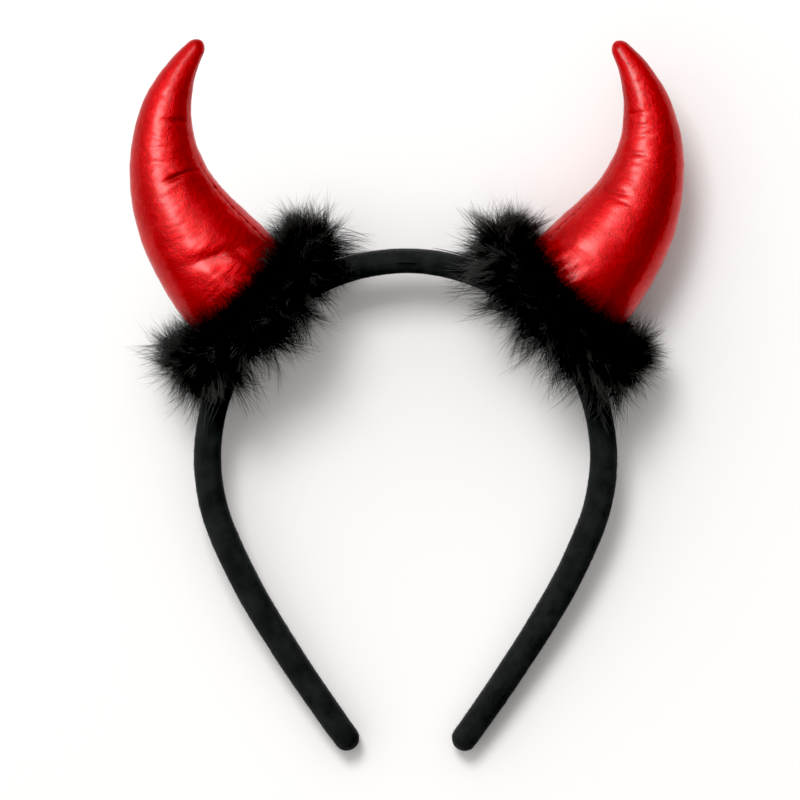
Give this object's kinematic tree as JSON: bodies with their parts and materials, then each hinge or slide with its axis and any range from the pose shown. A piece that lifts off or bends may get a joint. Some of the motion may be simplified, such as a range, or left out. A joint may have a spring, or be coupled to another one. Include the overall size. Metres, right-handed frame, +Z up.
{
  "type": "devil horns headband",
  "caption": "Padded velour hair band with curved stuffed horns of red foil-faced cloth and fluffy black down trims round their feet.",
  "frame": {"origin": "on the surface that the headband lies on, under the middle of its overall box", "axes": "+X across the band, +Y from its free ends to its crown and the horns' tips, +Z up from the surface; the wearer's head goes in along Y and the front of the head is towards +Z"},
  "size_m": [0.166, 0.2134, 0.055],
  "materials": {
    "velour": "matt black velour with a short pile",
    "foil_cloth": "red metallic foil face, softly crinkled, stitched seams",
    "down": "fluffy black down"
  },
  "bodies": {
    "root": {"headband": "velour", "horn_left": "foil_cloth", "horn_right": "foil_cloth", "fur_trim_left": "down", "fur_trim_right": "down"}
  },
  "joints": []
}
